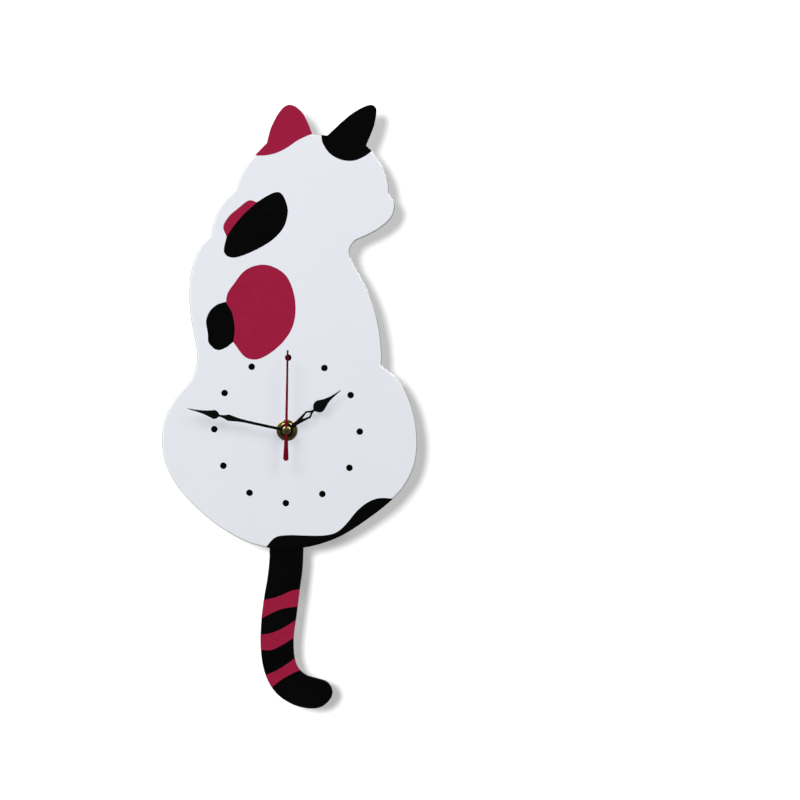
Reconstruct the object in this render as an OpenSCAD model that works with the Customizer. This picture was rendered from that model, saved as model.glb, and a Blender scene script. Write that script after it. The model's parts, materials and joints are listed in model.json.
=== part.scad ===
// Wall clock shaped like a sitting cat, whose tail is the pendulum.
// Frame: +Z up, +X right, and the dial faces -Y. The origin is the centre of
// the hanger's eye, in the wall plane y = 0. Outlines are drawn about the
// hand arbor, with x to the right and y up.

/* [Cat] */
// Thickness of the cat-shaped plate
plate_t = 3; // [2:0.5:4]
// Thickness of the coloured film patches and dial dots
film_t = 0.25; // [0.1:0.05:0.4]
// Radius of the circle of hour dots
dial_r = 55.3; // [50:0.1:58]
// Diameter of an hour dot
dot_d = 5; // [3:0.5:7]
// Height of the hanger's eye above the hand arbor
eye_above = 40; // [36:1:60]

/* [Tail] */
// Thickness of the tail plate
tail_t = 3; // [2:0.5:4]
// Gap between the cat plate and the tail
tail_gap = 2; // [1:0.5:2]
// Drop from the hand arbor to the pivot of the tail
pivot_drop = 40; // [38:1:42]

/* [Hands] */
// Length of the hour hand
hour_len = 51; // [46:1:54]
// Length of the minute hand
minute_len = 77; // [74:1:82]
// Length of the second hand
second_len = 61; // [54:1:66]
// Length of the second hand's tail
second_tail = 23; // [16:1:26]
// Hour hand's angle from twelve, clockwise
hour_angle = 52.5; // [0:0.5:360]
// Minute hand's angle from twelve, clockwise
minute_angle = 281.5; // [0:0.5:360]
// Thickness of the stamped hands
hand_t = 0.5; // [0.3:0.1:0.6]

/* [Movement] */
// Width of the movement case
case_w = 56; // [56:1:60]
// Height of the case above the hand arbor
case_up = 28; // [28:1:30]
// Height of the case below the hand arbor
case_down = 68; // [68:1:70]
// Depth of the case without its rear cover
case_depth = 16; // [16:0.5:18]
// Thickness of the rear cover
cover_t = 1.5; // [1:0.1:1.5]
// Thickness of the case walls
wall_t = 1.2; // [1:0.1:1.5]
// Thickness of the case front
front_t = 1.5; // [1:0.1:1.5]
// Radius of the threaded bush
bush_r = 4; // [4:0.1:4.1]

/* [Fixing] */
// Outer radius of the brass washer
washer_r = 8; // [7:0.5:9]
// Thickness of the brass washer
washer_t = 0.8; // [0.5:0.1:1]
// Width of the fixing nut across its flats
nut_af = 11; // [10:0.5:12]
// Thickness of the fixing nut
nut_t = 2; // [1.5:0.1:2.5]
// Thickness of the rubber washer
rubber_t = 1; // [0.5:0.1:1.5]
// Thickness of the hanger plate
hanger_t = 1; // [0.8:0.1:1.2]
// Radius of the hanger's eye
eye_r = 3; // [2:0.5:4]

/* [Battery] */
// Diameter of the AA cell
cell_d = 14.1; // [13.9:0.1:14.2]
// Length of the AA cell over its nub
cell_l = 50.5; // [49.5:0.1:50.5]

/* [Hidden] */
$fn = 64;
cut = 0.1;          // how far a cutting solid runs past a face
bend_steps = 6;     // straight pieces between two knots of a curve
hour_marks = 12;

// ---- depth: y of every layer, from the wall plane forward ----
shaft_z = -eye_above;
case_back = -cover_t;
case_front = case_back - case_depth;
works_y = case_front + front_t;
hanger_front = case_front - hanger_t;
rubber_front = hanger_front - rubber_t;
plate_front = rubber_front - plate_t;
washer_front = plate_front - washer_t;
nut_front = washer_front - nut_t;
bush_front = nut_front - 0.7;
hour_back = bush_front - 0.7;
hour_front = hour_back - hand_t;
pipe_front = hour_front - 0.3;
minute_back = pipe_front - 1.6;
minute_front = minute_back - hand_t;
cap_front = minute_front - 1;
second_back = cap_front - 1.2;
second_front = second_back - 0.4;
hub_front = second_front - 0.7;
tail_front = rubber_front + tail_gap;
tail_back = tail_front + tail_t;

// ---- the cat's outline: corners lie where one stretch ends and the next begins ----
left_ear = [[-19, 218], [-15.5, 231], [-8.5, 243.5], [-1.5, 247.5], [6.5, 243], [11.5, 235],
    [15.5, 225.5]];
crown = [[15.5, 225.5], [27, 224.5]];
right_ear = [[27, 224.5], [40.5, 237.5], [50, 244.5], [58.5, 248.3], [62.8, 247], [64, 243],
    [62.5, 233.5], [59.5, 225], [56.5, 217.5]];
brow = [[56.5, 217.5], [62.5, 211.5], [69.5, 201], [73.5, 190], [74.5, 181]];
muzzle_and_chest = [[74.5, 181], [79, 173], [76.5, 163], [67.5, 154.5], [57, 148.5], [49, 144.5],
    [45.2, 137.5], [47, 129.5], [55, 116], [63, 99], [68.5, 79], [70.8, 61], [71, 50.5]];
haunches = [[71, 50.5], [84.5, 39], [94, 20.5], [98.5, 0], [98, -21], [91.5, -38], [80, -52],
    [61.5, -67], [41.5, -80], [21, -87.5], [0, -90.5], [-15, -89], [-30, -84.8], [-51, -73.5],
    [-70.5, -57.5], [-84, -42], [-92.5, -25], [-95, -9], [-93, 7], [-85.5, 22.5], [-73, 37.5]];
back = [[-73, 37.5], [-69.8, 48], [-70, 62], [-74, 81], [-76.2, 103], [-74, 124], [-67.5, 139.5],
    [-60, 147.5]];
nape = [[-60, 147.5], [-58.8, 156], [-53, 170.5], [-41.5, 183.5]];
cheek = [[-41.5, 183.5], [-39, 191.5], [-34.5, 200.5], [-27, 209.5], [-19, 218]];
cat_outline = concat(stretch(left_ear), stretch(crown), stretch(right_ear), stretch(brow),
    stretch(muzzle_and_chest), stretch(haunches), stretch(back), stretch(nape), stretch(cheek));

// ---- edges of the film patches ----
left_ear_edge = [[-28, 208.5], [-21, 208.6], [-12.7, 210.3], [-4, 214.5], [3.7, 220], [12.3, 224.4],
    [16.5, 225.8]];
right_ear_edge = [[22.3, 226], [22.6, 222.5], [24, 217.8], [29.3, 210.7], [37.8, 206.3],
    [47.3, 205.8], [56, 209.5], [62, 214.5]];
haunch_edge = [[81, -50.5], [71, -50.3], [62.5, -53.5], [54.5, -60], [46, -70.5], [38.5, -77],
    [29, -79.4], [16, -79.7], [2, -79.6], [-8, -81.7], [-15.5, -90.5]];
shoulder_seam = [[-48.3, 146.5], [-44, 153.3], [-36, 163.3], [-25.5, 173]];
shoulder_black_edge = [[-25.5, 173], [-19.2, 177.3], [-11, 181], [-6, 178.5], [-2.7, 170.5],
    [-2.3, 164], [-5, 154.5], [-13, 145], [-25.5, 137], [-38.5, 131.4], [-46, 131], [-50.2, 135.5],
    [-48.3, 146.5]];
shoulder_raspberry_edge = [[-25.5, 173], [-32, 174.2], [-39.5, 168.5], [-46.7, 162], [-51, 154],
    [-48.3, 146.5]];
back_seam = [[-42, 66.5], [-41, 76], [-43, 88], [-48, 97]];
back_raspberry_edge = [[-48, 97], [-46.8, 103.5], [-42, 111], [-35, 120], [-27, 124.5], [-18, 125.5],
    [-9, 122.5], [-1.5, 116], [3.5, 104], [5, 91], [3, 79], [-3, 68.5], [-12, 59.8], [-19.5, 55],
    [-26, 53.4], [-33.5, 55.8], [-42, 66.5]];
back_black_edge = [[-48, 97], [-55, 94.5], [-60.3, 89.3], [-62.8, 82], [-61.3, 72], [-60.5, 65.5],
    [-54.5, 60.3], [-48, 61.8], [-42, 66.5]];

// ---- the tail, which hooks to the right at its tip ----
tail_knots = [[1, -75.5], [-8, -77.5], [-11.8, -85], [-12, -98], [-13.2, -112], [-15.8, -129],
    [-17.6, -148], [-17.5, -167], [-14.5, -184], [-7, -198.5], [4.5, -207.5], [17, -211.5],
    [28, -211], [35.3, -205.5], [37.8, -198.5], [34, -191.5], [26.5, -188.8], [18, -186.3],
    [10.8, -180], [8, -170], [7.6, -156], [9.3, -142], [11.3, -123], [13.3, -106], [13.8, -92],
    [13.3, -84], [10, -77.5]];
stripe_tops = [[[-20, -130.5], [-12, -128.8], [-2.7, -126], [6, -122], [15, -120.5]],
    [[-20, -156.3], [-10.7, -155], [-2, -151.4], [6.5, -146.2], [14, -141]],
    [[-20, -187.5], [-12, -186.2], [-2, -181.3], [8.5, -173.6], [14, -168.5]]];
stripe_bottoms = [[[15, -133.6], [10, -134.2], [-1, -136], [-10, -139.8], [-20, -145.5]],
    [[14, -154], [7.5, -158], [-1, -163.6], [-9.8, -167.7], [-20, -167.5]],
    [[18, -182], [12, -183], [1.5, -188.4], [-7.4, -195], [-14, -202]]];

// ---- hands: half widths against the distance from the arbor ----
hour_stem = [[1.5, 2], [1.55, 9.5], [2.1, 14]];
hour_lozenge = [[3.15, 20.2], [2.3, 22], [1.5, 23], [0.8, 25]];
hour_spade = [[1.1, 26], [2.8, 27.1], [4.35, 29], [4.65, 30.8], [4.1, 33], [3.2, 35], [2.05, 38],
    [1.1, 42], [0.25, hour_len]];
hour_window = [[0, 14.8], [1.6, 19.6], [1.3, 21], [0, 22.5], [-1.3, 21], [-1.6, 19.6]];
minute_stem = [[1.1, 2], [1.05, 31], [1.4, 37]];
minute_lozenge = [[2.45, 45], [1.1, 49], [0.8, 51.5]];
minute_spade = [[1, 52.4], [2.4, 53.6], [3.4, 55.8], [3, 57.8], [2.3, 60.2], [1.65, 63], [1.15, 66],
    [0.7, 70], [0.2, minute_len]];
hour_boss_r = 5;
hour_collar_r = 3.4;
minute_boss_r = 4.6;
minute_collar_r = 2.6;
minute_collar_t = 1.1;
cap_r = 3.4;
second_root = 1;
second_tip = 0.7;
second_point = 0.5;
second_bulb_r = 2.05;
second_collar_r = 2.2;
hub_head_r = 2.9;
hub_dome_r = 8;
hub_pipe_r = 1.2;
hub_steps = 6;

// ---- gear train: teeth and modules, from the minute arbor to the rotor and the hour wheel ----
third_m = 0.28333;
centre_teeth = 64;
third_pinion_teeth = 8;
fine_m = 0.3;
third_teeth = 60;
second_pinion_teeth = 8;
second_teeth = 40;
intermediate_pinion_teeth = 8;
rotor_m = 0.2;
intermediate_teeth = 48;
rotor_pinion_teeth = 8;
cannon_m = 0.4;
cannon_teeth = 12;
motion_teeth = 36;
knob_teeth = 12;
hour_m = 0.384;
motion_pinion_teeth = 10;
hour_teeth = 40;
intermediate_dir = -40;
rotor_dir = 20;
motion_dir = 135;
third_at = [(third_teeth + second_pinion_teeth)*fine_m/2, 0];
intermediate_at = polar((second_teeth + intermediate_pinion_teeth)*fine_m/2, intermediate_dir);
rotor_at = intermediate_at + polar((intermediate_teeth + rotor_pinion_teeth)*rotor_m/2, rotor_dir);
motion_at = polar((cannon_teeth + motion_teeth)*cannon_m/2, motion_dir);
knob_at = motion_at + polar((motion_teeth + knob_teeth)*cannon_m/2, motion_dir);

// ---- arbors and the levels of the works, as depths behind the case front ----
second_r = 0.5;
minute_r = 1.75;
hour_r = 2.5;
run_gap = 0.08;         // running clearance of the three hand arbors
bush_bore_r = 2.6;
pivot_gap = 0.05;       // running clearance of the small pivots
third_r = 0.4;
small_r = 0.3;
stud_r = 0.5;
knob_r = 1.2;
motion_level = 0.4;
hour_level = 0.6;
cannon_level = 2.2;
centre_level = 4.4;
third_level = 6.2;
middle_level = 7.6;
middle_t = 0.8;
second_level = 8.8;
intermediate_level = 10.1;
core_level = 10.7;
core_t = 0.8;
magnet_level = 11.2;
rotor_t = 1.4;
rotor_r = 2.5;
rotor_hub_r = 0.9;
bridge_level = 13;
bridge_t = 0.7;
board_level = 10.5;
board_t = 1;
pillars = [[-9, -8.2], [2.5, 13], [16.9, 10.5]];
pillar_r = 1.6;
plate_edge_r = 2.1;
coil_x = 22.5;
stator_posts = [[coil_x, -8.2], [coil_x, 18]];
board_posts = [[-24.4, -8.3], [-24.4, 3.3], [-13, -8.3]];
works_screw_r = 0.7;
works_screw_l = 8;
works_head_t = 0.7;

// ---- case: its outline and its three rooms, works, battery and drive ----
case_hw = case_w/2;
room_hw = case_hw - wall_t;
works_low = -10.5;
bay_high = works_low - 1;
bay_low = -28;
drive_high = bay_low - 1.2;
screw_in = 3.8;
cover_screw_at = [for (sx = [-1, 1], z = [case_up - screw_in, screw_in - case_down])
    [sx*(case_hw - screw_in), z]];
cover_screw_r = 0.8;
cover_head_r = 1.9;
cover_post_r = 2.7;
stator_post_r = 1.5;
board_post_r = 1.2;
third_post_r = 1.2;
third_post_h = 3.6;
knob_post_r = 1.4;
knob_post_h = 1.8;
stud_h = 4;
pivot_post_r = 2.5;
end_play = 0.3;         // gap at each end of the rocker's hub
rocker_slot_w = 20;
rocker_slot_h = 6;
rocker_slot_level = 4.5;
corner_r = 2;
window_hw = case_hw - 2;
window_low = bay_low + 0.4;
window_high = bay_high - 0.4;
notch_r = 7;
well_r = 6.7;
well_depth = 2.8;
well_wall = 1;
mark_in = 6;            // marks and label stay this far inside the case sides
mark_depth = 0.3;
mark_l = 3.4;
mark_w = 0.7;
arrow_r = 9;
label_low = -62;
label_high = -38;
knob_head_r = 6;
cell_z = (bay_high + bay_low)/2;
cell_y = case_back - 0.2 - cell_d/2;
nub_r = 2.75;
nub_l = 1;
contact_t = 0.3;
cell_end = room_hw - contact_t - 0.7;       // x of the tip of the cell's nub
cell_start = cell_end - cell_l;

// ---- tail drive: rocker, magnet, coil and hanger ----
pivot_at = [0, -pivot_drop];
rocker_level = 5.6;
rocker_t = 3;
hub_level = 5;
hub_t = 4.7;
pin_r = 1;
drive_at = [0, -pivot_drop - 16];
peg_at = [0, -pivot_drop - 32.5];
peg_r = 1.4;
rocker_front = works_y + rocker_level;
strip_t = 1;
strip_w = 7;
strip_end = -112;
joggle = [-76.5, -80];

// ---- points of a curve through knots, and other small rules ----
function polar(r, a) = [r*cos(a), r*sin(a)];
function cubic(a, b, c, d, t) =
    ((2*b) + (c - a)*t + (2*a - 5*b + 4*c - d)*t*t + (3*b - a - 3*c + d)*t*t*t)/2;
function knot(k, i) = i < 0 ? 2*k[0] - k[1]
    : i > len(k) - 1 ? 2*k[len(k) - 1] - k[len(k) - 2] : k[i];
function stretch(k) = [for (i = [0:len(k) - 2], s = [0:bend_steps - 1])
    cubic(knot(k, i - 1), k[i], k[i + 1], knot(k, i + 2), s/bend_steps)];
function curve(k) = concat(stretch(k), [k[len(k) - 1]]);
function closed_curve(k) = [for (i = [0:len(k) - 1], s = [0:bend_steps - 1])
    cubic(k[(i + len(k) - 1) % len(k)], k[i], k[(i + 1) % len(k)], k[(i + 2) % len(k)],
        s/bend_steps)];
function flipped(k) = [for (i = [len(k) - 1:-1:0]) [-k[i].x, k[i].y]];

// Slim wheel teeth: root, pitch line and tip, with a tooth centred on phase.
tooth_slim = 0.85;
tooth_add = 0.9;
tooth_ded = 1.15;
tooth_tip = 0.45;
function gear_points(teeth, m, phase) = let (
        half = 90/teeth*tooth_slim, r = teeth*m/2, low = r - tooth_ded*m, high = r + tooth_add*m)
    [for (i = [0:teeth - 1], f = [[low, -1], [r, -1], [high, -tooth_tip], [high, tooth_tip], [r, 1],
        [low, 1]]) polar(f[0], phase + 360/teeth*i + half*f[1])];

// A flat piece between two depths, drawn about the hand arbor.
module slab(front, back, at = [0, 0])
    translate([at.x, back, shaft_z + at.y]) rotate([90, 0, 0]) linear_extrude(back - front) children();

// A flat piece of the works: its level is counted from the inside of the case front.
module layer(level, t, at = [0, 0]) slab(works_y + level, works_y + level + t, at) children();

module disc(front, back, r, at = [0, 0]) slab(front, back, at) circle(r);

module ring(front, back, outer, inner, at = [0, 0])
    slab(front, back, at) difference() {
        circle(outer);
        circle(inner);
    }

module at_each(places) for (p = places) translate(p) children();

module rounded(x0, x1, y0, y1, r) {
    translate([x0 + r, y0]) square([x1 - x0 - 2*r, y1 - y0]);
    translate([x0, y0 + r]) square([x1 - x0, y1 - y0 - 2*r]);
    at_each([[x0 + r, y0 + r], [x1 - r, y0 + r], [x0 + r, y1 - r], [x1 - r, y1 - r]]) circle(r);
}

module gear(teeth, m, phase) polygon(gear_points(teeth, m, phase));

module film() slab(plate_front - film_t, plate_front) children();

// ---- the cat plate and its patches ----
module cat_shape() polygon(cat_outline);

module cat_plate() color("aliceblue") slab(plate_front, rubber_front) difference() {
    cat_shape();
    circle(bush_r + 0.3);
}

module ear_patch_raspberry() color("maroon") film() intersection() {
    cat_shape();
    polygon(concat(curve(left_ear_edge), [[20, 250], [-30, 250]]));
}

module ear_patch_black() color("black") film() intersection() {
    cat_shape();
    polygon(concat(curve(right_ear_edge), [[70, 250], [22.3, 250]]));
}

module shoulder_patch_raspberry() color("maroon") film()
    polygon(concat(stretch(shoulder_raspberry_edge), stretch(shoulder_seam)));

module shoulder_patch_black() color("black") film()
    polygon(concat(stretch(shoulder_black_edge), stretch(shoulder_seam)));

module back_patch_raspberry() color("maroon") film()
    polygon(concat(stretch(back_raspberry_edge), stretch(back_seam)));

module back_patch_black() color("black") film()
    polygon(concat(stretch(back_black_edge), stretch(back_seam)));

module haunch_patch_black() color("black") film() intersection() {
    cat_shape();
    polygon(concat(curve(haunch_edge), [[-15.5, -95], [85, -95]]));
}

module hour_dots() color("black") film()
    at_each([for (h = [1:hour_marks]) polar(dial_r, 360/hour_marks*h)]) circle(dot_d/2);

// ---- fixing: nut, washers, hanger and bush clamp the plate to the movement ----
module fixing_nut() color("goldenrod") difference() {
    intersection() {
        slab(nut_front, washer_front) circle(nut_af/2/cos(30), $fn = 6);
        slab_turned(nut_front, [[0, 0], [nut_af/2, 0], [nut_af/2 + 1, 0.6], [nut_af/2 + 1, nut_t],
            [0, nut_t]]);
    }
    disc(nut_front - cut, washer_front + cut, bush_r);
}

// A turned piece about the hand arbor: x is the radius, y runs back from the front face.
module slab_turned(front, profile)
    translate([0, front, shaft_z]) rotate([-90, 0, 0]) rotate_extrude() polygon(profile);

module brass_washer() color("goldenrod") ring(washer_front, plate_front, washer_r, bush_r + 0.2);

module rubber_washer() color("dimgray") ring(rubber_front, hanger_front, washer_r + 1, bush_r + 0.2);

// Sheet hanger: clamped in front of the case, folded over its top and back to the wall plane.
module hanger_plate() color("silver") {
    half = 9;
    fold_low = case_up + 1;
    fold_high = fold_low + hanger_t;
    top_r = 8;
    difference() {
        slab(hanger_front, case_front) union() {
            translate([-half, 0]) square([2*half, fold_high]);
            circle(half);
        }
        disc(hanger_front - cut, case_front + cut, bush_r + 0.1);
    }
    slab(case_front, -hanger_t) translate([-half, fold_low]) square([2*half, hanger_t]);
    difference() {
        slab(-hanger_t, 0) union() {
            translate([-half, fold_low]) square([2*half, eye_above - fold_low]);
            translate([0, eye_above]) scale([half/top_r, 1]) circle(top_r);
        }
        disc(-hanger_t - cut, cut, eye_r, [0, eye_above]);
    }
}

module threaded_bush() color("goldenrod") difference() {
    union() {
        slab_turned(bush_front, [[0, 0], [bush_r - 0.3, 0], [bush_r, 0.3],
            [bush_r, works_y - bush_front], [0, works_y - bush_front]]);
        disc(works_y, works_y + 0.5, bush_r + 1.5);
    }
    disc(bush_front - cut, works_y + 1, bush_bore_r);
}

// ---- movement case, with three rooms open to the rear ----
module room(low, high) layer(0, case_depth) translate([-room_hw, low]) square([2*room_hw, high - low]);

module post(height, r, at) disc(works_y - cut, works_y + height, r, at);

module movement_case() color("dimgray") difference() {
    union() {
        difference() {
            slab(case_front, case_back) rounded(-case_hw, case_hw, -case_down, case_up, corner_r);
            room(works_low, case_up - wall_t);
            room(bay_low, bay_high);
            room(wall_t - case_down, drive_high);
            disc(case_front - cut, works_y + cut, bush_r);
            translate([-rocker_slot_w/2, works_y + rocker_slot_level, shaft_z - case_down - cut])
                cube([rocker_slot_w, rocker_slot_h, wall_t + 2*cut]);
        }
        for (p = cover_screw_at) disc(works_y - cut, case_back, cover_post_r, p);
        for (p = pillars) post(middle_level, pillar_r, p);
        for (p = stator_posts) post(core_level, stator_post_r, p);
        for (p = board_posts) post(board_level, board_post_r, p);
        post(third_post_h, third_post_r, third_at);
        post(stud_h, stud_r, motion_at);
        post(knob_post_h, knob_post_r, knob_at);
        post(hub_level - end_play, pivot_post_r, pivot_at);
    }
    for (p = cover_screw_at) disc(case_back - 6, case_back + cut, cover_screw_r, p);
    for (p = pillars) disc(works_y + 5, works_y + middle_level + cut, works_screw_r, p);
    for (p = stator_posts) disc(works_y + 3.5, works_y + core_level + cut, works_screw_r, p);
    disc(works_y + 0.6, works_y + 4, third_r + pivot_gap, third_at);
    disc(works_y + 0.2, works_y + 2, small_r*2 + pivot_gap, knob_at);
    disc(works_y, works_y + hub_level, pin_r, pivot_at);
}

// Engraved polarity bar, and an arrow that shows the way to turn the setting knob.
module bar(turn = 0) rotate(turn) square([mark_l, mark_w], center = true);

module turn_arrow(from, to) {
    polygon(concat([for (a = [from:5:to]) polar(arrow_r, a)], [for (a = [to:-5:from])
        polar(arrow_r + mark_w, a)]));
    rotate(to) translate([arrow_r + mark_w/2, 0])
        polygon([[-mark_w*2, 0], [mark_w*2, 0], [0, mark_w*4]]);
}

module cover_marks() slab(-mark_depth, cut) {
    translate([case_hw - mark_in, bay_high + mark_l]) {
        bar();
        bar(90);
    }
    translate([mark_in - case_hw, bay_high + mark_l]) bar();
    translate(knob_at) {
        turn_arrow(-60, 10);
        turn_arrow(120, 190);
    }
    rounded(-case_hw + mark_in, case_hw - mark_in, label_low, label_high, corner_r);
}

// Rear cover: battery window with a thumb notch, well for the setting knob and a boss for the
// rocker's pin.
module rear_cover() color("dimgray") difference() {
    union() {
        slab(case_back, 0) rounded(-case_hw, case_hw, -case_down, case_up, corner_r);
        disc(-well_depth - 1.2, case_back, well_r + well_wall, knob_at);
        disc(works_y + hub_level + hub_t + end_play, case_back, pivot_post_r, pivot_at);
    }
    slab(case_back - cut, cut) rounded(-window_hw, window_hw, window_low, window_high, 1);
    disc(-cover_t/2, cut, notch_r, [0, window_low]);
    cover_marks();
    disc(-well_depth, cut, well_r, knob_at);
    disc(-well_depth - 2, cut, knob_r + pivot_gap*2, knob_at);
    disc(works_y + hub_level + hub_t, -2.5, pin_r, pivot_at);
    for (p = cover_screw_at) {
        disc(case_back - cut, cut, cover_screw_r + 0.1, p);
        disc(-0.95, cut, cover_head_r + 0.2, p);
    }
}

module screw(front, shaft_l, shaft_r, head_r, head_t, at) difference() {
    union() {
        disc(front - shaft_l, front, shaft_r, at);
        disc(front, front + head_t, head_r, at);
    }
    slab(front + head_t/2, front + head_t + cut, at) {
        square([head_r*1.4, head_r*0.3], center = true);
        square([head_r*0.3, head_r*1.4], center = true);
    }
}

module cover_screws() color("silver")
    for (p = cover_screw_at) screw(-0.95, 5, cover_screw_r, cover_head_r, 0.85, p);

// ---- plates of the works ----
module plate_outline(places) hull() at_each(places) circle(plate_edge_r, $fn = 32);

module middle_plate() color("ivory") difference() {
    layer(middle_level, middle_t)
        plate_outline(concat(pillars, [third_at, rotor_at, intermediate_at]));
    for (p = pillars) hole_through(middle_level, middle_t, works_screw_r, p);
    hole_through(middle_level, middle_t, 1.4, [0, 0]);
    hole_through(middle_level, middle_t, third_r + pivot_gap, third_at);
    hole_through(middle_level, middle_t, small_r + pivot_gap, intermediate_at);
    hole_through(middle_level, middle_t, small_r + pivot_gap, rotor_at);
}

module hole_through(level, t, r, at)
    disc(works_y + level - cut, works_y + level + t + cut, r, at);

module bridge_plate() color("ivory") difference() {
    union() {
        layer(bridge_level, bridge_t)
            plate_outline(concat(pillars, [rotor_at, intermediate_at]));
        for (p = pillars)
            disc(works_y + middle_level + middle_t, works_y + bridge_level + cut, pillar_r, p);
    }
    for (p = pillars) hole_through(middle_level, bridge_level - middle_level + bridge_t,
        works_screw_r, p);
    hole_through(bridge_level, bridge_t, second_r + pivot_gap, [0, 0]);
    hole_through(bridge_level, bridge_t, small_r + pivot_gap, intermediate_at);
    hole_through(bridge_level, bridge_t, small_r + pivot_gap, rotor_at);
}

module works_screws() color("silver") {
    for (p = pillars) screw(works_y + bridge_level + bridge_t, works_screw_l, works_screw_r, 1.3,
        works_head_t, p);
    for (p = stator_posts) screw(works_y + core_level + 2*core_t, works_screw_l, works_screw_r, 1.3,
        works_head_t, p);
}

// ---- stepping motor ----
stator_low = stator_posts[0].y - 1.6;
stator_high = stator_posts[1].y + 1.8;
stator_x0 = 7.2;
stator_x1 = 14.8;
stator_reach = coil_x + stator_post_r - stator_x0;
stator_foot_h = 3.3;
stator_head_h = 3.6;

module stator() color("slategray") difference() {
    layer(core_level + core_t, core_t) {
        translate([stator_x0, stator_low]) square([stator_x1 - stator_x0, stator_high - stator_low]);
        translate([stator_x0, stator_low]) square([stator_reach, stator_foot_h]);
        translate([stator_x0, stator_high - stator_head_h]) square([stator_reach, stator_head_h]);
    }
    hole_through(core_level + core_t, core_t, 3, rotor_at);
    for (p = stator_posts) hole_through(core_level + core_t, core_t, works_screw_r, p);
}

module coil_core() color("slategray") difference() {
    layer(core_level, core_t) {
        translate([coil_x - 1, stator_low]) square([2, stator_high - stator_low]);
        at_each(stator_posts) circle(stator_post_r);
    }
    for (p = stator_posts) hole_through(core_level, core_t, works_screw_r, p);
}

coil_low = -5;
coil_high = 15;
coil_tube_r = 1.3;
coil_inner_r = 1.1;
coil_wire_r = 2.7;
flange_r = 2.9;
flange_t = 0.9;

module about_coil() translate([coil_x, works_y + core_level + core_t/2, shaft_z]) children();

module coil_spool() color("ivory") about_coil() difference() {
    union() {
        translate([0, 0, coil_low]) cylinder(r = coil_tube_r, h = coil_high - coil_low);
        translate([0, 0, coil_low]) cylinder(r = flange_r, h = flange_t);
        translate([0, 0, coil_high - flange_t]) cylinder(r = flange_r, h = flange_t);
    }
    translate([0, 0, coil_low - cut]) cylinder(r = coil_inner_r, h = coil_high - coil_low + 2*cut);
}

module coil_winding() color("chocolate") about_coil() translate([0, 0, coil_low + flange_t])
    difference() {
        cylinder(r = coil_wire_r, h = coil_high - coil_low - 2*flange_t);
        translate([0, 0, -cut])
            cylinder(r = coil_tube_r, h = coil_high - coil_low - 2*flange_t + 2*cut);
    }

// ---- electronics ----
module circuit_board() color("darkgreen") layer(board_level, board_t)
    translate([-25.8, -9.7]) square([14.2, 14.2]);

module chip_blob() color("black") {
    blob_r = 3;
    blob_h = 1.2;
    difference() {
        translate([-17, works_y + board_level + board_t + blob_h - blob_r, shaft_z - 3]) sphere(blob_r);
        layer(board_level - 2*blob_r, 2*blob_r + board_t, [-17, -3]) circle(2*blob_r);
    }
}

module quartz_crystal() color("silver")
    translate([-22, works_y + board_level + board_t + 1, shaft_z + 2.6])
        rotate([0, 90, 0]) cylinder(r = 1, h = 6);

// ---- battery ----
module battery_cell() color("goldenrod") translate([cell_start, cell_y, shaft_z + cell_z])
    rotate([0, 90, 0]) {
        cylinder(r = cell_d/2, h = cell_l - nub_l);
        cylinder(r = nub_r, h = cell_l);
    }

module contact_plate(x0) translate([x0, cell_y - 5, shaft_z + cell_z - 4.5])
    cube([contact_t, 10, 9]);

module contact_positive() color("silver") {
    contact_plate(room_hw - contact_t);
    translate([cell_end, cell_y, shaft_z + cell_z]) rotate([0, 90, 0])
        cylinder(r1 = 1.6, r2 = 2.4, h = room_hw - contact_t - cell_end);
}

// The spring is drawn compressed, as one cone from the plate to the cell.
module contact_negative() color("silver") {
    spring_l = cell_start + room_hw - contact_t;
    contact_plate(-room_hw);
    translate([contact_t - room_hw, cell_y, shaft_z + cell_z]) rotate([0, 90, 0]) rotate_extrude()
        polygon([[3.4, 0], [4, 0], [2.3, spring_l], [1.7, spring_l]]);
}

// ---- tail drive in the lower room ----
spool_r = 8;
spool_h = 4;
spool_flange_t = 0.8;
spool_core_r = 2;
spool_wire_r = 7.5;

module drive_spool() color("ivory") {
    disc(works_y, works_y + spool_flange_t, spool_r, drive_at);
    disc(works_y, works_y + spool_h, spool_core_r, drive_at);
    disc(works_y + spool_h - spool_flange_t, works_y + spool_h, spool_r, drive_at);
}

module drive_winding() color("chocolate")
    ring(works_y + spool_flange_t, works_y + spool_h - spool_flange_t, spool_wire_r, spool_core_r,
        drive_at);

module rocker_pin() color("silver") disc(works_y, -2.5, pin_r, pivot_at);

// ---- hands ----
module spade(stem, lozenge, spade_part)
    polygon(concat(stem, lozenge, stretch(spade_part), [spade_part[len(spade_part) - 1]],
        flipped(concat(stem, lozenge, curve(spade_part)))));

module hour_hand() color("black") difference() {
    union() {
        slab(hour_front, hour_back) rotate(-hour_angle) difference() {
            union() {
                circle(hour_boss_r);
                spade(hour_stem, hour_lozenge, hour_spade);
            }
            polygon(hour_window);
        }
        disc(hour_back, hour_back + 0.5, hour_collar_r);
    }
    disc(hour_front - cut, hour_back + 1, hour_r);
}

module minute_hand() color("black") difference() {
    union() {
        slab(minute_front, minute_back) rotate(-minute_angle) {
            circle(minute_boss_r);
            spade(minute_stem, minute_lozenge, minute_spade);
        }
        disc(minute_back, minute_back + minute_collar_t, minute_collar_r);
    }
    disc(minute_front - cut, minute_back + 2, minute_r);
}

module minute_nut() color("goldenrod") difference() {
    slab_turned(cap_front, [[0, 0], [cap_r - 0.5, 0], [cap_r, 0.4], [cap_r, 1], [0, 1]]);
    disc(cap_front - cut, minute_front + cut, minute_r);
}

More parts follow.
